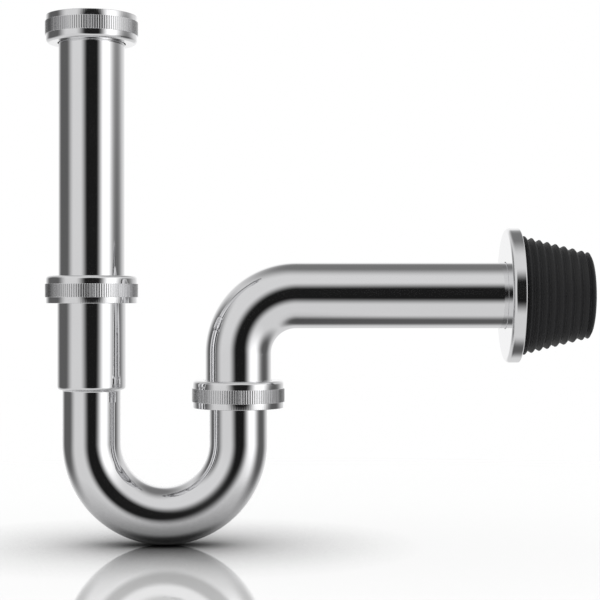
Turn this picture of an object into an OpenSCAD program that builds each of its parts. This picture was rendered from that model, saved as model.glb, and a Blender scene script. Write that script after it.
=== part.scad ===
// Tubular basin trap: inlet tube, sliding U-bend, swivelling outlet tube, three knurled nuts, wall rosette and
// ribbed wall seal. Millimetres, +Z up. The origin is on the inlet axis, on the face of the inlet gasket that
// the basin waste is drawn down on. The trap lies in the XZ plane and its outlet points along +X.

/* [Tubes] */
// Outside diameter of the inlet tube and the outlet tube
tube_od = 31.8; // [28:0.1:36]
// Wall of the inlet tube and the outlet tube
tube_wall = 0.7; // [0.5:0.05:1]
// How much narrower the U-bend's tube is than the inlet tube
bend_step = 3.8; // [3:0.1:6]
// Wall of the U-bend's tube
bend_wall = 0.7; // [0.5:0.05:1]
// Wall of the U-bend's socket, drawn thinner as it is widened
socket_wall = 0.5; // [0.4:0.05:0.8]
// Thickness of the turned-out flange at the sealing end of a tube
tube_flange_t = 0.8; // [0.6:0.1:1]
// Inside and outside radius of the round from a tube to its flange
flange_round = 0.4; // [0.2:0.1:0.4]

/* [Layout] */
// From the inlet seat down to the flange face of the slip nut
nut_drop = 117.9; // [112:0.1:180]
// From the flange face of the slip nut down to the shoulder of the socket
socket_drop = 53.3; // [48:0.1:80]
// Outside radius of the round at the socket's shoulder
shoulder_round = 1.7; // [1:0.1:1.9]
// From the shoulder of the socket down to the centre of the U
leg_drop = 27.3; // [20:0.1:60]
// Between the axes of the U-bend's two legs
leg_spacing = 70.9; // [66:0.1:90]
// From the centre of the U up to the flange face of the union nut
union_rise = 30.2; // [28:0.1:60]
// From the flange face of the union nut up to the axis of the outlet
outlet_rise = 40.9; // [39:0.1:80]
// Centreline radius of the outlet tube's bend
outlet_bend_r = 28; // [26:0.5:30]
// From the axis of the outlet tube's foot to the front of the rosette
outlet_reach = 128.8; // [125:0.1:250]

/* [Nuts] */
// Height of a nut
nut_h = 13.3; // [12:0.1:16]
// Thickness of a nut's flange
nut_flange_t = 1.8; // [1.4:0.1:2.4]
// Radius of the shoulder round a nut's flange
nut_round = 1.7; // [1:0.1:2]
// Room for flanges and rings between a tube and the pitch line of a nut's thread, which is left smooth
thread_space = 4.5; // [4:0.05:6]
// Wall of a nut round its thread
nut_wall = 1.5; // [1.2:0.1:3]
// Lead-in chamfer at a nut's mouth
mouth_chamfer = 0.5; // [0.3:0.1:0.8]
// Round on the outer edge of a nut's mouth
mouth_edge = 0.25; // [0.1:0.05:0.4]
// How far the thread relief behind the thread is wider than the thread
relief_step = 0.4; // [0.2:0.1:0.6]
// Number of ribs of the straight knurl
rib_count = 122; // [60:1:140]
// Width of the knurled band along the nut
knurl_w = 6.5; // [4:0.1:7.5]
// Smooth band between the knurl and the mouth
mouth_band = 2.9; // [1.5:0.1:3.2]
// Height of a rib above the smooth bands
rib_h = 0.45; // [0.3:0.05:0.8]
// Height of the roots between ribs above the smooth bands
rib_root = 0.05; // [0:0.01:0.2]

/* [Rings and seals] */
// Thickness of a slip ring
ring_t = 1.2; // [0.8:0.1:1.6]
// Thickness of a flat gasket
gasket_t = 2; // [1.5:0.1:2.4]
// Depth of the conical seat for the height seal
seat_h = 3; // [2:0.1:3.6]
// Radial width of that seat at its top
seat_w = 2.4; // [2:0.1:2.6]

/* [Rosette] */
// Outside diameter of the rosette
rosette_od = 65.1; // [60:0.1:80]
// Depth of the rosette
rosette_depth = 6.5; // [5:0.1:12]
// Sheet of the rosette
rosette_t = 0.9; // [0.6:0.1:1.5]
// Outside radius of the rosette's front corner
rosette_round = 2; // [1.6:0.1:3]
// Round on the back edge of the rosette's rim
rosette_edge = 0.6; // [0.2:0.1:0.6]

/* [Wall seal] */
// How far the first ridge's peak stands out from the outlet tube
seal_rise = 12.9; // [11:0.1:15]
// Fall of the ridges' radius for each millimetre along the seal
seal_taper = 0.252; // [0.15:0.001:0.26]
// Depth of the grooves between ridges
ridge_depth = 1.75; // [1:0.05:2.2]
// From the front face of the seal to the first ridge's peak
first_peak = 2.35; // [1.5:0.05:3]
// Share of the way from one ridge to the next at which the groove is deepest
groove_share = 0.45; // [0.3:0.05:0.7]
// From the first ridge to the second
ridge_pitch = 3.61; // [3:0.01:4]
// Growth of the pitch from each ridge to the next
pitch_growth = 0.125; // [0:0.005:0.13]
// Number of full ridges before the end lip
ridge_count = 8; // [5:1:8]
// From the last full ridge to the end lip
lip_pitch = 2.85; // [2:0.05:4]
// From the end lip to the end of the seal
seal_tip = 1.1; // [0.8:0.1:2]
// Number of sealing lips inside the seal
inner_lips = 3; // [2:1:4]
// Width of one sealing lip
inner_lip_w = 3; // [2:0.5:4]
// How far the bore is relieved between the lips
bore_relief = 1.2; // [0.6:0.1:2]
// How far the outlet tube stops short of the end of the seal
tube_inset = 5; // [2:0.5:8]

/* [Clearances] */
// Sliding fit of a tube in the socket or in rubber, on the radius
slide_fit = 0.07; // [0.04:0.01:0.1]
// Gap round a tube in a nut's flange
hole_gap = 0.45; // [0.35:0.05:0.6]
// Gap round a tube in a slip ring
ring_gap = 0.55; // [0.5:0.05:0.7]
// Gap round a tube in the rosette
rosette_gap = 0.3; // [0.2:0.05:0.5]
// Gap between a nut's thread and the collar that it runs on
thread_gap = 0.3; // [0.2:0.05:0.4]
// Gap between a nut's thread and the rings and flanges inside it
inside_gap = 0.6; // [0.4:0.1:0.8]
// Gap between the height seal and its conical seat
seat_gap = 0.25; // [0.15:0.05:0.3]
// Gap left over the inlet collar for squeezing the height seal
squeeze_gap = 0.3; // [0.2:0.1:0.6]
// Brazing gap between a collar and the tube that carries it
braze_gap = 0.05; // [0.03:0.01:0.08]
// How far a collar stops inside the mouth of its nut
collar_inset = 0.4; // [0.3:0.1:0.8]
// Gap between the inlet tube's end and the socket's shoulder
bottom_gap = 0.5; // [0.3:0.1:2]
// Gap between the rosette and the wall seal
seal_gap = 0.3; // [0.2:0.1:1]

/* [Hidden] */
$fn = 128;
cut = 1;

chrome = [0.80, 0.81, 0.83];
rubber = [0.10, 0.10, 0.11];
nylon = [0.92, 0.92, 0.90];

tube_r = tube_od / 2;
tube_bore_r = tube_r - tube_wall;
bend_r = tube_r - bend_step / 2;
bend_bore_r = bend_r - bend_wall;
socket_bore_r = tube_r + slide_fit;
socket_r = socket_bore_r + socket_wall;
socket_rim_r = (socket_bore_r + socket_r) / 2;

thread_r = tube_r + thread_space;
nut_r = thread_r + nut_wall;
hole_r = tube_r + hole_gap;
relief_r = thread_r + relief_step;
relief_h = ring_t + tube_flange_t + gasket_t;
collar_r = thread_r - thread_gap;
inside_r = thread_r - inside_gap;
rib_pitch_deg = 360 / rib_count;
rib_root_r = nut_r + rib_root;
rib_tip_r = nut_r + rib_h;
// Shares of a rib's pitch at which the root starts and ends, then the tip starts and ends
rib_shares = [0, 0.30, 0.45, 0.85];

// Heights above the inlet seat
inlet_nut_z = -relief_h - nut_flange_t;
slip_nut_z = -nut_drop;
slip_inside_z = slip_nut_z - nut_flange_t;
collar_top_z = slip_inside_z - relief_h - squeeze_gap;
socket_top_z = collar_top_z - seat_h;
slip_mouth_z = slip_nut_z - nut_h;
shoulder_z = slip_nut_z - socket_drop;
inlet_end_z = shoulder_z + bottom_gap;
u_centre_z = shoulder_z - leg_drop;
u_r = leg_spacing / 2;
union_nut_z = u_centre_z + union_rise;
union_inside_z = union_nut_z - nut_flange_t;
union_seat_z = union_inside_z - relief_h;
union_mouth_z = union_nut_z - nut_h;
outlet_foot_z = union_seat_z + gasket_t;
outlet_z = union_nut_z + outlet_rise;
outlet_bend_z = outlet_z - outlet_bend_r;
// Height of the outlet tube's foot, which carries its flange
foot_h = 2 * (tube_flange_t + flange_round);

// Distances along the outlet from the inlet axis
outlet_bend_x = leg_spacing + outlet_bend_r;
rosette_x = leg_spacing + outlet_reach;
seal_x = rosette_x + rosette_depth + seal_gap;

// Ridges of the wall seal, measured from its front face
function peak_at(i) = first_peak + ridge_pitch * i + pitch_growth * i * (i - 1) / 2;
lip_at = peak_at(ridge_count - 1) + lip_pitch;
seal_len = lip_at + seal_tip;
function peaks() = [for (i = [0 : ridge_count - 1]) peak_at(i), lip_at];
function cone_r(t) = tube_r + seal_rise - seal_taper * (t - first_peak);
seal_bore_r = tube_r + slide_fit;
outlet_end_x = seal_x + seal_len - tube_inset;

// Rounds the outer corner of a profile at (r, z); out and up give the side on which the corner lies
module corner_off(r, z, round, out = 1, up = 1) {
    side = round + cut;
    translate([r - out * round, z - up * round])
        difference() {
            translate([out > 0 ? 0 : -side, up > 0 ? 0 : -side])
                square(side);
            circle(round);
        }
}

// Fills the inner corner of a profile at (r, z) with a round
module corner_fill(r, z, round, out = 1, up = 1) {
    difference() {
        translate([out > 0 ? r : r - round, up > 0 ? z : z - round])
            square(round);
        translate([r + out * round, z + up * round])
            circle(round);
    }
}

// Length of round tube or rod along +Z
module pipe(outer_r, inner_r, z0, z1) {
    translate([0, 0, z0])
        difference() {
            cylinder(r = outer_r, h = z1 - z0);
            translate([0, 0, -cut])
                cylinder(r = inner_r, h = z1 - z0 + 2 * cut);
        }
}

// Flat ring between two radii, lying on z0
module flat_ring(outer_r, inner_r, z0, t) {
    pipe(outer_r, inner_r, z0, z0 + t);
}

// Tube's end with its flange turned out at the top, from z = -length to z = 0
module flanged_end(length) {
    rotate_extrude()
        difference() {
            union() {
                translate([tube_bore_r, -length])
                    square([tube_wall, length]);
                translate([tube_bore_r, -tube_flange_t])
                    square([inside_r - tube_bore_r, tube_flange_t]);
                corner_fill(tube_r, -tube_flange_t, flange_round, 1, -1);
            }
            corner_off(tube_bore_r, 0, flange_round, -1, 1);
        }
}

// Nut seen from its flange: the flange face lies on z = 0 and the mouth faces +Z
module nut() {
    thread_z = nut_flange_t + relief_h;
    union() {
        rotate_extrude()
            difference() {
                translate([hole_r, 0])
                    square([nut_r - hole_r, nut_h]);
                translate([0, nut_flange_t])
                    square([relief_r, relief_h]);
                translate([0, thread_z - cut])
                    square([thread_r, nut_h]);
                polygon([[thread_r - cut, nut_h - mouth_chamfer - cut],
                         [thread_r + mouth_chamfer + cut, nut_h + cut],
                         [thread_r - cut, nut_h + cut]]);
                corner_off(nut_r, 0, nut_round, 1, -1);
                corner_off(nut_r, nut_h, mouth_edge, 1, 1);
            }
        translate([0, 0, nut_h - mouth_band - knurl_w])
            linear_extrude(knurl_w)
                difference() {
                    polygon([for (i = [0 : rib_count - 1], k = [0 : 3])
                        let (a = (i + rib_shares[k]) * rib_pitch_deg,
                             r = k < 2 ? rib_root_r : rib_tip_r)
                        [r * cos(a), r * sin(a)]]);
                    circle(nut_r - rib_h);
                }
    }
}

// Nut with its flange face up at height z
module nut_facing_up(z) {
    translate([0, 0, z])
        mirror([0, 0, 1])
            nut();
}

module at_outlet_leg() {
    translate([leg_spacing, 0, 0])
        children();
}

// Turns a shape that stands along +Z to lie along the outlet, starting at distance x
module along_outlet(x) {
    translate([x, 0, outlet_z])
        rotate([0, 90, 0])
            children();
}

module inlet_nut() {
    color(chrome)
        translate([0, 0, inlet_nut_z])
            nut();
}

module inlet_slip_ring() {
    color(nylon)
        flat_ring(inside_r, tube_r + ring_gap, -relief_h, ring_t);
}

module inlet_gasket() {
    color(rubber)
        flat_ring(inside_r, tube_bore_r, -gasket_t, gasket_t);
}

module inlet_tube() {
    color(chrome)
        translate([0, 0, -gasket_t])
            flanged_end(-gasket_t - inlet_end_z);
}

module slip_nut() {
    color(chrome)
        nut_facing_up(slip_nut_z);
}

module slip_ring() {
    color(nylon)
        flat_ring(inside_r, tube_r + ring_gap, slip_inside_z - ring_t, ring_t);
}

// Wedge of rubber that grips the inlet tube and sits on the socket's rim
module height_seal() {
    seal_top_z = slip_inside_z - ring_t;
    color(rubber)
        rotate_extrude()
            polygon([[socket_bore_r, socket_top_z],
                     [socket_rim_r, socket_top_z],
                     [socket_rim_r + seat_w - seat_gap, collar_top_z],
                     [socket_rim_r + seat_w - seat_gap, seal_top_z],
                     [socket_bore_r, seal_top_z]]);
}

// Swaged step from the socket to the bend tube: a round, then a hollow that meets the tube
module shoulder(socket_rad, tube_rad, round) {
    step = socket_rad - tube_rad;
    rotate_extrude()
        difference() {
            union() {
                translate([0, shoulder_z - step])
                    square([tube_rad, step]);
                translate([0, shoulder_z - round])
                    square([socket_rad, round]);
                corner_fill(tube_rad, shoulder_z - round, step - round, 1, -1);
            }
            corner_off(socket_rad, shoulder_z - round, round, 1, -1);
        }
}

// Outer or inner surface of the U-bend as a solid, past its two open ends by over
module u_bend_rod(socket_rad, tube_rad, round, over) {
    leg_top_z = shoulder_z - socket_rad + tube_rad;
    translate([0, 0, shoulder_z])
        cylinder(r = socket_rad, h = socket_top_z - shoulder_z + over);
    shoulder(socket_rad, tube_rad, round);
    translate([0, 0, u_centre_z])
        cylinder(r = tube_rad, h = leg_top_z - u_centre_z);
    translate([u_r, 0, u_centre_z])
        rotate([-90, 0, 0])
            rotate_extrude(angle = 180)
                translate([u_r, 0])
                    circle(tube_rad);
    at_outlet_leg()
        translate([0, 0, u_centre_z])
            cylinder(r = tube_rad, h = union_seat_z - u_centre_z + over);
}

module u_bend() {
    color(chrome)
        difference() {
            u_bend_rod(socket_r, bend_r, shoulder_round, 0);
            u_bend_rod(socket_bore_r, bend_bore_r, shoulder_round - socket_wall, cut);
        }
}

// Threaded sleeve brazed round the socket's top, with the seat of the height seal
module bend_inlet_collar() {
    bore_r = socket_r + braze_gap;
    seat_r = socket_rim_r + seat_w;
    color(chrome)
        rotate_extrude()
            polygon([[bore_r, slip_mouth_z + collar_inset],
                     [collar_r, slip_mouth_z + collar_inset],
                     [collar_r, collar_top_z],
                     [seat_r, collar_top_z],
                     [bore_r, socket_top_z]]);
}

// Threaded sleeve brazed round the outlet leg, flush with its end
module bend_outlet_collar() {
    color(chrome)
        at_outlet_leg()
            pipe(collar_r, bend_r + braze_gap, union_mouth_z + collar_inset, union_seat_z);
}

module union_nut() {
    color(chrome)
        at_outlet_leg()
            nut_facing_up(union_nut_z);
}

module union_slip_ring() {
    color(nylon)
        at_outlet_leg()
            flat_ring(inside_r, tube_r + ring_gap, union_inside_z - ring_t, ring_t);
}

module union_gasket() {
    color(rubber)
        at_outlet_leg()
            flat_ring(inside_r, tube_bore_r, union_seat_z, gasket_t);
}

// The outlet tube's outer or inner surface as a solid above its flanged foot, longer at both ends by over
module outlet_rod(rad, over) {
    rod_z = outlet_foot_z + foot_h - over;
    at_outlet_leg()
        translate([0, 0, rod_z])
            cylinder(r = rad, h = outlet_bend_z - rod_z);
    translate([outlet_bend_x, 0, outlet_bend_z])
        rotate([90, 0, 0])
            rotate([0, 0, 90])
                rotate_extrude(angle = 90)
                    translate([outlet_bend_r, 0])
                        circle(rad);
    along_outlet(outlet_bend_x)
        cylinder(r = rad, h = outlet_end_x - outlet_bend_x + over);
}

module outlet_tube() {
    color(chrome)
        union() {
            difference() {
                outlet_rod(tube_r, 0);
                outlet_rod(tube_bore_r, cut);
            }
            at_outlet_leg()
                translate([0, 0, outlet_foot_z])
                    mirror([0, 0, 1])
                        flanged_end(foot_h);
        }
}

// Drawn sheet disc with a rounded corner and a rim that turns back to the wall
module rosette() {
    outer = rosette_od / 2;
    color(chrome)
        along_outlet(rosette_x)
            rotate_extrude()
                difference() {
                    translate([tube_r + rosette_gap, 0])
                        square([outer - tube_r - rosette_gap, rosette_depth]);
                    difference() {
                        translate([0, rosette_t])
                            square([outer - rosette_t, rosette_depth]);
                        corner_off(outer - rosette_t, rosette_t, rosette_round - rosette_t, 1, -1);
                    }
                    corner_off(outer, 0, rosette_round, 1, -1);
                    corner_off(outer, rosette_depth, rosette_edge, 1, 1);
                }
}

// Ribbed rubber cone on the end of the outlet tube
module wall_seal() {
    tops = peaks();
    last = len(tops) - 1;
    lip_step = (seal_len - tube_inset - inner_lip_w) / (inner_lips - 1);
    ridges = [for (i = [0 : last]) each
        i == 0 ? [[cone_r(0) - ridge_depth, 0], [cone_r(tops[0]), tops[0]]]
               : let (dip = tops[i - 1] + groove_share * (tops[i] - tops[i - 1]))
                 [[cone_r(dip) - ridge_depth, dip], [cone_r(tops[i]), tops[i]]]];
    color(rubber)
        along_outlet(seal_x)
            rotate_extrude()
                difference() {
                    polygon(concat([[seal_bore_r, 0]], ridges,
                                   [[cone_r(seal_len) - ridge_depth, seal_len],
                                    [seal_bore_r, seal_len]]));
                    for (i = [0 : inner_lips - 2])
                        translate([0, inner_lip_w + i * lip_step])
                            square([seal_bore_r + bore_relief, lip_step - inner_lip_w]);
                }
}

inlet_nut();
inlet_slip_ring();
inlet_gasket();
inlet_tube();
slip_nut();
slip_ring();
height_seal();
u_bend();
bend_inlet_collar();
bend_outlet_collar();
union_nut();
union_slip_ring();
union_gasket();
outlet_tube();
rosette();
wall_seal();
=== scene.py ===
from math import atan2, cos, degrees, floor, hypot, pi, radians, sin

import bmesh
import bpy
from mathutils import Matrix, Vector


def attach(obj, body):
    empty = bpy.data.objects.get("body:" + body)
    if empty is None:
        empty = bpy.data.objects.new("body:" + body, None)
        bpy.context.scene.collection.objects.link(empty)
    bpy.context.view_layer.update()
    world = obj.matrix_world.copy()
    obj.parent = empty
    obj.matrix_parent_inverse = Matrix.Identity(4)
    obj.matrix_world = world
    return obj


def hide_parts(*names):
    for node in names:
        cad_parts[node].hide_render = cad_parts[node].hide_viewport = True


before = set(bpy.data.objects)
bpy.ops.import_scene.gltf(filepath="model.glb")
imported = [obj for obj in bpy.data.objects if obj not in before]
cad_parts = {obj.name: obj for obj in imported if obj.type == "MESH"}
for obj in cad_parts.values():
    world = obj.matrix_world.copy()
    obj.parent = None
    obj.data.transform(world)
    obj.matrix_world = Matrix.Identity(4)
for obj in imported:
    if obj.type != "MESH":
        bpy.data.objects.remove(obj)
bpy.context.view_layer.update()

mm = 0.001

# ---------------------------------------------------------------- camera
# Looks level and square on at the trap, from three quarters of a metre in front of it.
camera_data = bpy.data.cameras.new("front_camera")
camera_data.sensor_width = 36.0
camera_data.lens = 94.4
camera_data.clip_start = 0.05
camera_data.clip_end = 50.0
camera = bpy.data.objects.new("front_camera", camera_data)
camera.location = (100.7 * mm, -760.7 * mm, -129.6 * mm)
camera.rotation_euler = (pi / 2, 0.0, 0.0)
bpy.context.scene.collection.objects.link(camera)
bpy.context.scene.camera = camera

# ---------------------------------------------------------------- floor
# A sheet of gloss white board that the trap stands on. It is large enough to run out of sight, and white in
# the picture, while the chrome sees it as the slightly duller white that it is under soft light.
floor_z = -247.97 * mm


def only(thing):
    bpy.ops.object.select_all(action="DESELECT")
    thing.select_set(True)
    bpy.context.view_layer.objects.active = thing


def new_material(name):
    material = bpy.data.materials.new(name)
    material.use_nodes = True
    material.node_tree.nodes.clear()
    return material, material.node_tree.nodes, material.node_tree.links


bpy.ops.object.select_all(action="DESELECT")
bpy.ops.mesh.primitive_plane_add(size=1.0, location=(0.0, 0.0, 0.0))
floor_board = bpy.context.object
floor_board.name = "floor_board"
bpy.ops.object.mode_set(mode="EDIT")
bpy.ops.transform.resize(value=(24.0, 24.0, 1.0))
bpy.ops.transform.translate(value=(0.1, 0.0, floor_z))
bpy.ops.object.mode_set(mode="OBJECT")

board, nodes, links = new_material("floor_gloss_white_shadow_painted")
# Painted shadow: close to where the trap stands, the board's colour and the colour of its shine are darkened by how
# much of the space just above the board the trap takes up, on top of the real shade that the trap casts in the even
# light
painted_shade_occlusion = nodes.new("ShaderNodeAmbientOcclusion")
painted_shade_occlusion.samples = 8
painted_shade_occlusion.inputs["Distance"].default_value = 0.085
painted_shadow_tone = nodes.new("ShaderNodeGamma")
painted_shadow_tone.inputs["Gamma"].default_value = 2.0
links.new(painted_shade_occlusion.outputs["Color"], painted_shadow_tone.inputs["Color"])
matt = nodes.new("ShaderNodeBsdfDiffuse")
links.new(painted_shadow_tone.outputs[0], matt.inputs["Color"])
shine = nodes.new("ShaderNodeBsdfGlossy")
links.new(painted_shadow_tone.outputs[0], shine.inputs["Color"])
shine.inputs["Roughness"].default_value = 0.02
grazing = nodes.new("ShaderNodeFresnel")
grazing.inputs["IOR"].default_value = 1.6
sheen = nodes.new("ShaderNodeMath")
sheen.operation = "MULTIPLY"
sheen.use_clamp = True
sheen.inputs[1].default_value = 1.3
links.new(grazing.outputs[0], sheen.inputs[0])
seen = nodes.new("ShaderNodeMixShader")
links.new(sheen.outputs[0], seen.inputs["Fac"])
links.new(matt.outputs[0], seen.inputs[1])
links.new(shine.outputs[0], seen.inputs[2])
# In the chrome the board is as pale as the room, and only a painted shade under the trap shows on it: a near-black
# sheet, strongest where the trap crowds closest over the board
pale = nodes.new("ShaderNodeBsdfTransparent")
painted_shade_sheet = nodes.new("ShaderNodeBsdfDiffuse")
painted_shade_sheet.inputs["Color"].default_value = (0.02, 0.02, 0.02, 1)
board_in_chrome_painted_shade = nodes.new("ShaderNodeMixShader")
links.new(painted_shadow_tone.outputs[0], board_in_chrome_painted_shade.inputs["Fac"])
links.new(painted_shade_sheet.outputs[0], board_in_chrome_painted_shade.inputs[1])
links.new(pale.outputs[0], board_in_chrome_painted_shade.inputs[2])
paths = nodes.new("ShaderNodeLightPath")
board_seen = nodes.new("ShaderNodeMixShader")
links.new(paths.outputs["Is Glossy Ray"], board_seen.inputs["Fac"])
links.new(seen.outputs[0], board_seen.inputs[1])
links.new(board_in_chrome_painted_shade.outputs[0], board_seen.inputs[2])
surface = nodes.new("ShaderNodeOutputMaterial")
links.new(board_seen.outputs[0], surface.inputs["Surface"])
floor_board.data.materials.append(board)

# ---------------------------------------------------------------- studio
# Even white light from all round. What polished metal shows of the room is pale, with a soft white light at the
# right of the camera, a round black screen about the camera, and grey screens at both sides and behind.
world = bpy.data.worlds.new("white_studio")
world.use_nodes = True
nodes, links = world.node_tree.nodes, world.node_tree.links
nodes.clear()
way = nodes.new("ShaderNodeTexCoord")
height = nodes.new("ShaderNodeSeparateXYZ")
links.new(way.outputs["Generated"], height.inputs[0])
walls = nodes.new("ShaderNodeMapRange")
walls.interpolation_type = "SMOOTHSTEP"
walls.inputs["From Min"].default_value = -0.17
walls.inputs["From Max"].default_value = 0.17
walls.inputs["To Min"].default_value = 0.745
walls.inputs["To Max"].default_value = 0.785
links.new(height.outputs["Z"], walls.inputs["Value"])
room = walls.outputs["Result"]


def screen(room, tone, turn, rise, flat, fade):
    """A round soft-edged screen or light in the room. turn is its angle from straight in front of the trap
    towards the right, rise its angle above level, flat the angle that its even middle covers out from its
    centre, and fade the angle over which it ends."""
    turn, rise = radians(turn), radians(rise)
    off = nodes.new("ShaderNodeVectorMath")
    off.operation = "DOT_PRODUCT"
    off.inputs[1].default_value = (sin(turn) * cos(rise), -cos(turn) * cos(rise), sin(rise))
    links.new(way.outputs["Generated"], off.inputs[0])
    angle = nodes.new("ShaderNodeMath")
    angle.operation = "ARCCOSINE"
    links.new(off.outputs["Value"], angle.inputs[0])
    edge = nodes.new("ShaderNodeMapRange")
    edge.interpolation_type = "SMOOTHSTEP"
    edge.inputs["From Min"].default_value = radians(flat)
    edge.inputs["From Max"].default_value = radians(flat + fade)
    edge.inputs["To Min"].default_value = 1.0
    edge.inputs["To Max"].default_value = 0.0
    links.new(angle.outputs[0], edge.inputs["Value"])
    over = nodes.new("ShaderNodeMix")
    over.data_type = "FLOAT"
    over.clamp_factor = True
    links.new(edge.outputs["Result"], over.inputs[0])
    links.new(room, over.inputs[2])
    over.inputs[3].default_value = tone
    return over.outputs[0]


room = screen(room, 1.54, 61.1, 3.5, -1.9, 44.4)
room = screen(room, 0.125, -104.8, 2.8, 17.4, 30.7)
room = screen(room, 0.12, 104.9, -11.8, 8.1, 37.9)
room = screen(room, 0.21, 170.8, 61.7, 9.7, 40.7)
room = screen(room, 0.12, 184.2, -75.2, 8.9, 25.4)
room = screen(room, 1.00, 180.0, 8.0, 16.0, 16.0)
room = screen(room, 0.012, 8.0, 6.7, 15.4, 25.6)

paths = nodes.new("ShaderNodeLightPath")
light = nodes.new("ShaderNodeMix")
light.data_type = "FLOAT"
links.new(paths.outputs["Is Glossy Ray"], light.inputs[0])
light.inputs[2].default_value = 1.0
links.new(room, light.inputs[3])
sky = nodes.new("ShaderNodeBackground")
links.new(light.outputs[0], sky.inputs["Strength"])
outside = nodes.new("ShaderNodeOutputWorld")
links.new(sky.outputs[0], outside.inputs["Surface"])
sky.inputs["Color"].default_value = (1, 1, 1, 1)
bpy.context.scene.world = world

# ---------------------------------------------------------------- inlet tube
# A straight brass tube, polished and chromed, 31.8 mm across with a 0.7 mm wall. Its top end is turned out to a
# flange that the inlet nut draws up, and it slides in the U-bend's socket to set the height.


def corner_verts(mesh, spot):
    return [v for v in mesh.verts if (v.co - spot).length < 2e-6]


def turned(name, outline, at=(0.0, 0.0), axis="Z", steps=192):
    """Extrudes a closed outline point by point, rounds its corners and spins it. Points are radius, distance, round."""
    def spot(r, t):
        return Vector((at[0] + r, 0.0, t)) * mm if axis == "Z" else Vector((t, 0.0, at[1] + r)) * mm

    bpy.ops.object.select_all(action="DESELECT")
    bpy.ops.mesh.primitive_plane_add(size=mm, location=(0.0, 0.0, 0.0))
    piece = bpy.context.object
    piece.name = piece.data.name = name
    bpy.ops.object.mode_set(mode="EDIT")
    bpy.ops.mesh.merge(type="CENTER")
    bpy.ops.transform.translate(value=spot(*outline[0][:2]))
    for a, b in zip(outline, outline[1:]):
        step = spot(*b[:2]) - spot(*a[:2])
        bpy.ops.mesh.extrude_region_move(TRANSFORM_OT_translate={"value": step})
    mesh = bmesh.from_edit_mesh(piece.data)
    bpy.ops.mesh.select_all(action="DESELECT")
    for p in (outline[0], outline[-1]):
        corner_verts(mesh, spot(*p[:2]))[0].select = True
    mesh.select_flush(True)
    bpy.ops.mesh.edge_face_add()
    for r, t, *rounding in outline:
        if rounding:
            mesh = bmesh.from_edit_mesh(piece.data)
            bpy.ops.mesh.select_all(action="DESELECT")
            corner_verts(mesh, spot(r, t))[0].select = True
            mesh.select_flush(True)
            segments = rounding[1] if len(rounding) > 1 else 4
            bpy.ops.mesh.bevel(offset=rounding[0] * mm, segments=segments, affect="VERTICES")
    bpy.ops.mesh.select_all(action="SELECT")
    centre = (at[0] * mm, 0.0, 0.0) if axis == "Z" else (0.0, 0.0, at[1] * mm)
    along = (0, 0, 1) if axis == "Z" else (1, 0, 0)
    bpy.ops.mesh.spin(steps=steps, angle=2 * pi, center=centre, axis=along)
    bpy.ops.mesh.select_all(action="SELECT")
    bpy.ops.mesh.remove_doubles(threshold=2e-6)
    bpy.ops.mesh.normals_make_consistent(inside=False)
    bpy.ops.object.mode_set(mode="OBJECT")
    return piece


def smooth(piece, angle=35.0):
    """Shades smoothly across gentle edges, with the flats and long straights kept true beside small rounds."""
    only(piece)
    bpy.ops.object.shade_smooth_by_angle(angle=radians(angle))
    weigh = piece.modifiers.new("true_flats", "WEIGHTED_NORMAL")
    weigh.mode = "FACE_AREA"
    weigh.weight = 100
    weigh.keep_sharp = True
    bpy.ops.object.modifier_apply(modifier="true_flats")


def finish_piece(piece, material, body, slot, *stands_for):
    piece.data.materials.clear()
    piece.data.materials.append(material)
    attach(piece, body)
    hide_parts(*stands_for)


def chrome_plate(name, tone, shine, waviness):
    """Chrome over polished brass: near-white metal, a few thousandths of haze in its shine, and the faint
    waviness that polishing leaves."""
    material, nodes, links = new_material(name)
    metal = nodes.new("ShaderNodeBsdfPrincipled")
    metal.inputs["Metallic"].default_value = 1.0
    surface = nodes.new("ShaderNodeOutputMaterial")
    links.new(metal.outputs[0], surface.inputs["Surface"])
    place = nodes.new("ShaderNodeTexCoord")

    def noise(scale, detail):
        pattern = nodes.new("ShaderNodeTexNoise")
        pattern.inputs["Scale"].default_value = scale
        pattern.inputs["Detail"].default_value = detail
        links.new(place.outputs["Object"], pattern.inputs["Vector"])
        return pattern.outputs["Fac"]

    plate = nodes.new("ShaderNodeMix")
    plate.data_type = "RGBA"
    plate.inputs[6].default_value = (*[t - 0.012 for t in tone], 1)
    plate.inputs[7].default_value = (*[t + 0.012 for t in tone], 1)
    links.new(noise(35.0, 2.0), plate.inputs["Factor"])
    links.new(plate.outputs[2], metal.inputs["Base Color"])
    haze = nodes.new("ShaderNodeMapRange")
    haze.inputs["From Min"].default_value = 0.3
    haze.inputs["From Max"].default_value = 0.7
    haze.inputs["To Min"].default_value = shine[0]
    haze.inputs["To Max"].default_value = shine[1]
    links.new(noise(90.0, 3.0), haze.inputs["Value"])
    links.new(haze.outputs["Result"], metal.inputs["Roughness"])
    waves = nodes.new("ShaderNodeBump")
    waves.inputs["Strength"].default_value = 1.0
    waves.inputs["Distance"].default_value = waviness * mm
    links.new(noise(55.0, 1.0), waves.inputs["Height"])
    links.new(waves.outputs[0], metal.inputs["Normal"])
    return material


tube_chrome = chrome_plate("tube_chrome", (0.80, 0.80, 0.81), (0.035, 0.060), 0.010)

inlet_tube = turned("inlet_tube_polished", [
    (15.2, -2.0, 0.4), (19.8, -2.0, 0.2), (19.8, -2.8, 0.2), (15.9, -2.8, 0.4, 6),
    (15.9, -170.7, 0.2), (15.2, -170.7, 0.2)])
smooth(inlet_tube)
finish_piece(inlet_tube, tube_chrome, "inlet_pipe", "chrome", "inlet_tube")

# ---------------------------------------------------------------- U-bend
# Brass tube, 28 mm across, bent round half a turn, with its inlet end swaged out to a socket for the inlet tube.
# Outside and inside are both made, and closed at the two ends.
u_radius, u_z, leg_x = 35.45, -198.5, 70.9
bend_rings = 96


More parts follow.
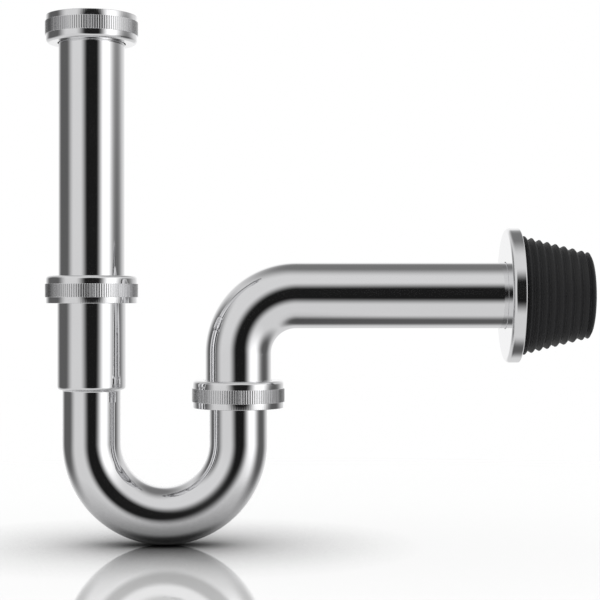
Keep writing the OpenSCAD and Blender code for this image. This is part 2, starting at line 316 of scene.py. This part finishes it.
def ring_at(name, radius, x, z, corners=160):
    bpy.ops.object.select_all(action="DESELECT")
    bpy.ops.mesh.primitive_circle_add(vertices=corners, radius=radius * mm, location=(0.0, 0.0, 0.0))
    piece = bpy.context.object
    piece.name = piece.data.name = name
    bpy.ops.object.mode_set(mode="EDIT")
    bpy.ops.mesh.select_all(action="SELECT")
    bpy.ops.transform.translate(value=(x * mm, 0.0, z * mm))
    return piece


def pull(x=0.0, z=0.0):
    bpy.ops.mesh.extrude_region_move(TRANSFORM_OT_translate={"value": (x * mm, 0.0, z * mm)})


def u_skin(name, socket_r, tube_r, rounding):
    """One skin of the U-bend, from the socket's rim down, round and up to the outlet end."""
    skin = ring_at(name, socket_r, 0.0, -127.0)
    shoulder_z = -171.2
    pull(z=shoulder_z + 127.0)
    radius, height = socket_r, shoulder_z
    hollow = socket_r - tube_r - rounding
    arcs = [(socket_r - rounding + rounding * cos(a), shoulder_z - rounding * sin(a))
            for a in (radians(11.25 * k) for k in range(1, 9))]
    arcs += [(tube_r + hollow - hollow * sin(a), shoulder_z - rounding - hollow + hollow * cos(a))
             for a in (radians(15 * k) for k in range(1, 7))]
    for r, z in arcs:
        pull(z=z - height)
        share = r / radius
        bpy.ops.transform.resize(value=(share, share, 1.0), center_override=(0.0, 0.0, z * mm))
        radius, height = r, z
    pull(z=u_z - height)
    bpy.ops.mesh.spin(steps=bend_rings, angle=pi, center=(u_radius * mm, 0, u_z * mm), axis=(0, 1, 0))
    pull(z=-174.1 - u_z)
    bpy.ops.object.mode_set(mode="OBJECT")
    return skin


def join_skins(outer, inner, ends):
    """Joins an outer and an inner skin and closes each end with a flat rim."""
    only(outer)
    inner.select_set(True)
    bpy.ops.object.join()
    bpy.ops.object.mode_set(mode="EDIT")
    for along, at in ends:
        mesh = bmesh.from_edit_mesh(outer.data)
        bpy.ops.mesh.select_all(action="DESELECT")
        for e in mesh.edges:
            if e.is_boundary and all(abs(v.co[along] - at * mm) < 1e-5 for v in e.verts):
                e.select = True
        mesh.select_flush(True)
        bpy.ops.mesh.bridge_edge_loops()
    bpy.ops.mesh.select_all(action="SELECT")
    bpy.ops.mesh.remove_doubles(threshold=2e-6)
    bpy.ops.mesh.normals_make_consistent(inside=False)
    bpy.ops.object.mode_set(mode="OBJECT")


u_bend = u_skin("u_bend_polished", 16.47, 14.0, 1.7)
# the outlet leg's own end is at the same height as nothing else, so heights alone pick the two rims
join_skins(u_bend, u_skin("u_bend_inside", 15.97, 13.3, 1.2), [(2, -127.0), (2, -174.1)])
smooth(u_bend)
finish_piece(u_bend, tube_chrome, "bend", "chrome", "u_bend")

# ---------------------------------------------------------------- outlet tube
# The same tube as the inlet, bent a quarter turn. Its flanged foot stands on the union gasket, and its far end
# runs through the rosette into the wall seal.
outlet_z, elbow_r = -127.4, 28.0


def outlet_skin(name, radius, foot):
    """One skin of the outlet tube: foot is a list of radius and height from the flange's rim upwards."""
    skin = ring_at(name, foot[0][0], leg_x, foot[0][1], 176)
    at = foot[0]
    for r, z in foot[1:] + [(radius, outlet_z - elbow_r)]:
        pull(z=z - at[1])
        share = r / at[0]
        bpy.ops.transform.resize(value=(share, share, 1.0), center_override=(leg_x * mm, 0.0, z * mm))
        at = (r, z)
    bpy.ops.mesh.spin(steps=64, angle=pi / 2, center=((leg_x + elbow_r) * mm, 0, at[1] * mm), axis=(0, -1, 0))
    pull(x=235.7 - leg_x - elbow_r)
    bpy.ops.object.mode_set(mode="OBJECT")
    return skin


def quarter(r, z, size, start, turn, count=6):
    """Points of a quarter circle about r, z."""
    return [(r + size * cos(a), z + size * sin(a))
            for a in (radians(start + turn * 90.0 * k / count) for k in range(count + 1))]


foot_z = -172.1
outer_foot = [(19.8, foot_z), (19.8, foot_z + 0.7), (19.7, foot_z + 0.8)]
outer_foot += quarter(16.3, foot_z + 1.2, 0.4, 270, -1)
inner_foot = [(19.8, foot_z), (15.6, foot_z)] + quarter(15.6, foot_z + 0.4, 0.4, 270, -1)[1:]
outlet_tube = outlet_skin("outlet_tube_polished", 15.9, outer_foot)
join_skins(outlet_tube, outlet_skin("outlet_tube_inside", 15.2, inner_foot), [(0, 235.7)])
smooth(outlet_tube)
finish_piece(outlet_tube, tube_chrome, "outlet_pipe", "chrome", "outlet_tube")

# ---------------------------------------------------------------- nuts
# Three brass nuts, turned, threaded G 1 1/4 inside, straight-knurled round the middle and chromed. The inlet
# nut's flange faces down and the others' face up.
pitch = 2.309
rib_count, rib_root, rib_tip = 122, 21.95, 22.35
knurl_low, knurl_high = 3.9, 10.4
rib_wave = [(0.00, 0.0), (0.26, 0.0), (0.34, 0.12), (0.44, 0.88), (0.52, 1.0), (0.78, 1.0), (0.86, 0.88), (0.96, 0.12)]


def helix(name, profile, start_z, half_turns):
    """A screw thread as one ridge: its outline of radius and height is screwed up about the Z axis."""
    bpy.ops.object.select_all(action="DESELECT")
    bpy.ops.mesh.primitive_plane_add(size=mm, location=(0.0, 0.0, 0.0))
    ridge = bpy.context.object
    ridge.name = name
    bpy.ops.object.mode_set(mode="EDIT")
    bpy.ops.mesh.delete(type="ONLY_FACE")
    mesh = bmesh.from_edit_mesh(ridge.data)
    mesh.verts.ensure_lookup_table()
    order = sorted(mesh.verts, key=lambda v: atan2(v.co.y, v.co.x))
    for v, (r, z) in zip(order, profile):
        v.co = Vector((r, 0.0, start_z + z)) * mm
    bmesh.update_edit_mesh(ridge.data)
    bpy.ops.object.mode_set(mode="OBJECT")
    screw = ridge.modifiers.new("thread", "SCREW")
    screw.axis = "Z"
    screw.angle = pi
    screw.screw_offset = pitch / 2 * mm
    screw.iterations = half_turns
    screw.steps = screw.render_steps = 48
    screw.use_merge_vertices = False
    bpy.ops.object.modifier_apply(modifier="thread")
    bpy.ops.object.mode_set(mode="EDIT")
    bpy.ops.mesh.select_all(action="SELECT")
    bpy.ops.mesh.remove_doubles(threshold=2e-6)
    bpy.ops.mesh.select_all(action="DESELECT")
    bpy.ops.mesh.select_non_manifold()
    bpy.ops.mesh.fill_holes(sides=8)
    bpy.ops.mesh.select_all(action="SELECT")
    bpy.ops.mesh.normals_make_consistent(inside=False)
    bpy.ops.object.mode_set(mode="OBJECT")
    return ridge


def nut_blank(name):
    """One rib's sector of the nut is spun in small steps, the knurl band is pressed in between ribs, and the
    sector is repeated all the way round."""
    outline = [(16.35, 0.0, 0.2, 3), (21.9, 0.0, 1.7, 9), (21.9, knurl_low), (rib_root, knurl_low + 0.01),
               (rib_tip - 0.12, knurl_low + 0.02), (rib_tip, knurl_low + 0.16),
               (rib_tip, knurl_high - 0.16), (rib_tip - 0.12, knurl_high - 0.02),
               (rib_root, knurl_high - 0.01), (21.9, knurl_high), (21.9, 13.3, 0.25, 3),
               (21.25, 13.3, 0.1, 2), (20.75, 12.8), (20.75, 1.8, 0.3, 2), (16.35, 1.8, 0.2, 2)]
    bpy.ops.object.select_all(action="DESELECT")
    bpy.ops.mesh.primitive_plane_add(size=mm, location=(0.0, 0.0, 0.0))
    nut = bpy.context.object
    nut.name = nut.data.name = name
    bpy.ops.object.mode_set(mode="EDIT")
    bpy.ops.mesh.merge(type="CENTER")
    spots = [Vector((p[0], 0.0, p[1])) * mm for p in outline]
    bpy.ops.transform.translate(value=spots[0])
    for a, b in zip(spots, spots[1:]):
        bpy.ops.mesh.extrude_region_move(TRANSFORM_OT_translate={"value": b - a})
    mesh = bmesh.from_edit_mesh(nut.data)
    bpy.ops.mesh.select_all(action="DESELECT")
    for p in (spots[0], spots[-1]):
        corner_verts(mesh, p)[0].select = True
    mesh.select_flush(True)
    bpy.ops.mesh.edge_face_add()
    for p, point in zip(spots, outline):
        if len(point) > 2:
            mesh = bmesh.from_edit_mesh(nut.data)
            bpy.ops.mesh.select_all(action="DESELECT")
            corner_verts(mesh, p)[0].select = True
            mesh.select_flush(True)
            bpy.ops.mesh.bevel(offset=point[2] * mm, segments=point[3], affect="VERTICES")
    bpy.ops.mesh.select_all(action="SELECT")
    rib_angle = 2 * pi / rib_count
    shares = [w[0] for w in rib_wave] + [1.0]
    for a, b in zip(shares, shares[1:]):
        bpy.ops.mesh.spin(steps=1, angle=(b - a) * rib_angle, center=(0, 0, 0), axis=(0, 0, -1))
    mesh = bmesh.from_edit_mesh(nut.data)
    for v in mesh.verts:
        r = hypot(v.co.x, v.co.y)
        if r > 21.92 * mm:
            share = atan2(v.co.y, v.co.x) / rib_angle % 1.0
            near = min(rib_wave + [(1.0, 0.0)], key=lambda w: abs(w[0] - share))
            depth = rib_root * mm + (r - rib_root * mm) * max(near[1], 0.02)
            v.co.x *= depth / r
            v.co.y *= depth / r
    bmesh.update_edit_mesh(nut.data)
    bpy.ops.mesh.select_all(action="SELECT")
    bpy.ops.mesh.spin(steps=rib_count, dupli=True, angle=2 * pi, center=(0, 0, 0), axis=(0, 0, 1))
    bpy.ops.mesh.select_all(action="SELECT")
    bpy.ops.mesh.remove_doubles(threshold=2e-6)
    bpy.ops.mesh.normals_make_consistent(inside=False)
    bpy.ops.object.mode_set(mode="OBJECT")
    thread = helix(name + "_thread", [(20.95, -0.80), (19.85, -0.28), (19.85, 0.28), (20.95, 0.80)], 6.6, 4)
    only(nut)
    thread.select_set(True)
    bpy.ops.object.join()
    return nut


def nut_copy(model, name, x, z, flange_up):
    nut = model.copy()
    nut.data = model.data.copy()
    nut.name = nut.data.name = name
    bpy.context.scene.collection.objects.link(nut)
    only(nut)
    if flange_up:
        nut.rotation_euler = (pi, 0.0, 0.0)
    nut.location = (x * mm, 0.0, z * mm)
    bpy.ops.object.transform_apply(location=True, rotation=True, scale=True)
    return nut


nut_chrome = chrome_plate("nut_chrome", (0.80, 0.80, 0.81), (0.050, 0.090), 0.006)
nut_model = nut_blank("nut_model")
smooth(nut_model, 30.0)
for name, body, node, x, z, flange_up in (
        ("inlet_nut_knurled", "inlet_union", "inlet_nut", 0.0, -5.8, False),
        ("slip_nut_knurled", "height_nut", "slip_nut", 0.0, -117.9, True),
        ("union_nut_knurled", "outlet_nut", "union_nut", leg_x, -168.3, True)):
    finish_piece(nut_copy(nut_model, name, x, z, flange_up), nut_chrome, body, "chrome", node)
bpy.data.objects.remove(nut_model)

# ---------------------------------------------------------------- rosette
# A disc of brass sheet, drawn to a shallow cup and chromed, that slides on the outlet tube and covers the hole
# in the wall.
rosette = turned("rosette_drawn", [
    (16.2, 199.7, 0.3), (32.55, 199.7, 2.0, 12), (32.55, 206.2, 0.6, 5), (31.65, 206.2, 0.1, 2),
    (31.65, 200.6, 1.1, 6), (16.2, 200.6, 0.3)], at=(0.0, outlet_z), axis="X", steps=256)
smooth(rosette)
rosette_chrome = chrome_plate("rosette_chrome", (0.80, 0.80, 0.81), (0.045, 0.080), 0.012)
finish_piece(rosette, rosette_chrome, "wall_plate", "chrome", "rosette")

# ---------------------------------------------------------------- wall seal
# A moulded cone of black rubber with nine ridges outside and three lips inside. It is pushed over the outlet
# tube and into the drain socket in the wall.
seal_x = 206.5
ridge_tops = [2.35 + 3.61 * k + 0.125 * k * (k - 1) / 2 for k in range(8)]
ridge_tops.append(ridge_tops[-1] + 2.85)
seal_length = ridge_tops[-1] + 1.1


def ridge_r(t):
    return 15.9 + 12.9 - 0.252 * (t - ridge_tops[0])


seal_outline = [(15.97, seal_x, 0.3), (ridge_r(0.0) - 1.75, seal_x, 0.3)]
for k, top in enumerate(ridge_tops):
    if k:
        dip = ridge_tops[k - 1] + 0.45 * (top - ridge_tops[k - 1])
        seal_outline.append((ridge_r(dip) - 1.75, seal_x + dip, 0.35, 3))
    seal_outline.append((ridge_r(top), seal_x + top, 0.35, 3))
seal_outline.append((ridge_r(seal_length) - 1.75, seal_x + seal_length, 0.3, 3))
lip_step = (seal_length - 5.0 - 3.0) / 2
seal_outline.append((15.97, seal_x + seal_length, 0.3))
for k in (1, 0):
    seal_outline += [(15.97, seal_x + 3.0 + k * lip_step + lip_step - 3.0, 0.3),
                     (17.17, seal_x + 3.0 + k * lip_step + lip_step - 3.0, 0.3),
                     (17.17, seal_x + 3.0 + k * lip_step, 0.3), (15.97, seal_x + 3.0 + k * lip_step, 0.3)]
wall_seal = turned("wall_seal_ridged", seal_outline, at=(0.0, outlet_z), axis="X", steps=192)
smooth(wall_seal, 50.0)


def rubber(name, tone, shine, grain):
    """Black rubber: a dull skin with the fine tooth of its mould and faint greying on it."""
    material, nodes, links = new_material(name)
    skin = nodes.new("ShaderNodeBsdfPrincipled")
    skin.inputs["Specular IOR Level"].default_value = 0.35
    surface = nodes.new("ShaderNodeOutputMaterial")
    links.new(skin.outputs[0], surface.inputs["Surface"])
    place = nodes.new("ShaderNodeTexCoord")
    patches = nodes.new("ShaderNodeTexNoise")
    patches.inputs["Scale"].default_value = 70.0
    patches.inputs["Detail"].default_value = 3.0
    links.new(place.outputs["Object"], patches.inputs["Vector"])
    colour = nodes.new("ShaderNodeMix")
    colour.data_type = "RGBA"
    colour.inputs[6].default_value = (*[t * 0.8 for t in tone], 1)
    colour.inputs[7].default_value = (*[t * 1.25 for t in tone], 1)
    links.new(patches.outputs["Fac"], colour.inputs["Factor"])
    links.new(colour.outputs[2], skin.inputs["Base Color"])
    dull = nodes.new("ShaderNodeMapRange")
    dull.inputs["From Min"].default_value = 0.3
    dull.inputs["From Max"].default_value = 0.7
    dull.inputs["To Min"].default_value = shine[0]
    dull.inputs["To Max"].default_value = shine[1]
    links.new(patches.outputs["Fac"], dull.inputs["Value"])
    links.new(dull.outputs["Result"], skin.inputs["Roughness"])
    tooth = nodes.new("ShaderNodeTexNoise")
    tooth.inputs["Scale"].default_value = 2500.0
    tooth.inputs["Detail"].default_value = 2.0
    links.new(place.outputs["Object"], tooth.inputs["Vector"])
    rough = nodes.new("ShaderNodeBump")
    rough.inputs["Strength"].default_value = 0.5
    rough.inputs["Distance"].default_value = grain * mm
    links.new(tooth.outputs["Fac"], rough.inputs["Height"])
    links.new(rough.outputs[0], skin.inputs["Normal"])
    return material


seal_rubber = rubber("seal_rubber", (0.013, 0.013, 0.014), (0.48, 0.62), 0.03)
finish_piece(wall_seal, seal_rubber, "wall_cone", "rubber", "wall_seal")

# ---------------------------------------------------------------- gaskets and height seal
# Flat rings and one wedge-shaped ring of black rubber, hidden inside the nuts.
gasket_rubber = rubber("gasket_rubber", (0.018, 0.018, 0.019), (0.55, 0.70), 0.02)
for name, body, node, x, z in (("inlet_gasket_flat", "inlet_pipe", "inlet_gasket", 0.0, -2.0),
                               ("union_gasket_flat", "bend", "union_gasket", leg_x, -174.1)):
    gasket = turned(name, [(15.2, z, 0.15, 2), (19.8, z, 0.15, 2), (19.8, z + 2.0, 0.15, 2),
                           (15.2, z + 2.0, 0.15, 2)], at=(x, 0.0), steps=128)
    smooth(gasket)
    finish_piece(gasket, gasket_rubber, body, "rubber", node)
height_seal = turned("height_seal_wedge", [
    (15.97, -127.0), (16.22, -127.0), (18.37, -124.0, 0.2, 2), (18.37, -120.9, 0.2, 2), (15.97, -120.9, 0.2, 2)],
    steps=128)
smooth(height_seal)
finish_piece(height_seal, gasket_rubber, "height_ring", "rubber", "height_seal")

# ---------------------------------------------------------------- slip rings
# Thin rings of natural white nylon that let a nut turn without dragging the rubber or the flange under it.


def nylon(name):
    """Milky white nylon with a slight waxy sheen, a little light carried inside it and faint flow marks."""
    material, nodes, links = new_material(name)
    skin = nodes.new("ShaderNodeBsdfPrincipled")
    skin.inputs["Subsurface Weight"].default_value = 0.15
    skin.inputs["Subsurface Radius"].default_value = (0.8, 0.7, 0.6)
    skin.inputs["Subsurface Scale"].default_value = 0.001
    surface = nodes.new("ShaderNodeOutputMaterial")
    links.new(skin.outputs[0], surface.inputs["Surface"])
    place = nodes.new("ShaderNodeTexCoord")
    flow = nodes.new("ShaderNodeTexNoise")
    flow.inputs["Scale"].default_value = 160.0
    flow.inputs["Detail"].default_value = 4.0
    links.new(place.outputs["Object"], flow.inputs["Vector"])
    colour = nodes.new("ShaderNodeMix")
    colour.data_type = "RGBA"
    colour.inputs[6].default_value = (0.78, 0.77, 0.72, 1)
    colour.inputs[7].default_value = (0.88, 0.88, 0.85, 1)
    links.new(flow.outputs["Fac"], colour.inputs["Factor"])
    links.new(colour.outputs[2], skin.inputs["Base Color"])
    sheen = nodes.new("ShaderNodeMapRange")
    sheen.inputs["To Min"].default_value = 0.35
    sheen.inputs["To Max"].default_value = 0.55
    links.new(flow.outputs["Fac"], sheen.inputs["Value"])
    links.new(sheen.outputs["Result"], skin.inputs["Roughness"])
    marks = nodes.new("ShaderNodeBump")
    marks.inputs["Strength"].default_value = 0.4
    marks.inputs["Distance"].default_value = 0.02 * mm
    links.new(flow.outputs["Fac"], marks.inputs["Height"])
    links.new(marks.outputs[0], skin.inputs["Normal"])
    return material


ring_nylon = nylon("ring_nylon")
for name, body, node, x, z in (("inlet_ring_nylon", "inlet_ring", "inlet_slip_ring", 0.0, -4.0),
                               ("height_ring_nylon", "height_nut_ring", "slip_ring", 0.0, -120.9),
                               ("union_ring_nylon", "outlet_nut_ring", "union_slip_ring", leg_x, -171.3)):
    ring = turned(name, [(16.45, z, 0.2, 3), (19.8, z, 0.2, 3), (19.8, z + 1.2, 0.2, 3),
                         (16.45, z + 1.2, 0.2, 3)], at=(x, 0.0), steps=128)
    smooth(ring)
    finish_piece(ring, ring_nylon, body, "nylon", node)

# ---------------------------------------------------------------- collars
# Turned brass sleeves with a G 1 1/4 thread outside, brazed round the U-bend's two ends for the nuts to run on
# and chromed together with it.
def collar(name, node, outline, x, nut_z):
    sleeve = turned(name, outline, at=(x, 0.0), steps=160)
    # the nut's ridge lies 6.6 mm below its flange at this turn, so this one starts half a pitch off
    ridge = helix(name + "_thread", [(19.50, -0.80), (20.55, -0.28), (20.55, 0.28), (19.50, 0.80)],
                  nut_z - 6.6 - 1.5 * pitch, 3)
    ridge.location.x = x * mm
    only(ridge)
    bpy.ops.object.transform_apply(location=True, rotation=True, scale=True)
    only(sleeve)
    ridge.select_set(True)
    bpy.ops.object.join()
    smooth(sleeve)
    finish_piece(sleeve, nut_chrome, "bend", "chrome", node)


collar("inlet_collar_threaded", "bend_inlet_collar", [
    (16.52, -130.8, 0.1, 2), (19.65, -130.8, 0.4, 2), (19.65, -124.0, 0.4, 2), (18.62, -124.0, 0.1, 2),
    (16.52, -127.0)], 0.0, -117.9)
collar("outlet_collar_threaded", "bend_outlet_collar", [
    (14.05, -181.2, 0.1, 2), (19.65, -181.2, 0.4, 2), (19.65, -174.1, 0.4, 2), (14.05, -174.1, 0.1, 2)],
    leg_x, -168.3)

# ---------------------------------------------------------------- picture
bpy.context.scene.view_settings.view_transform = "Standard"
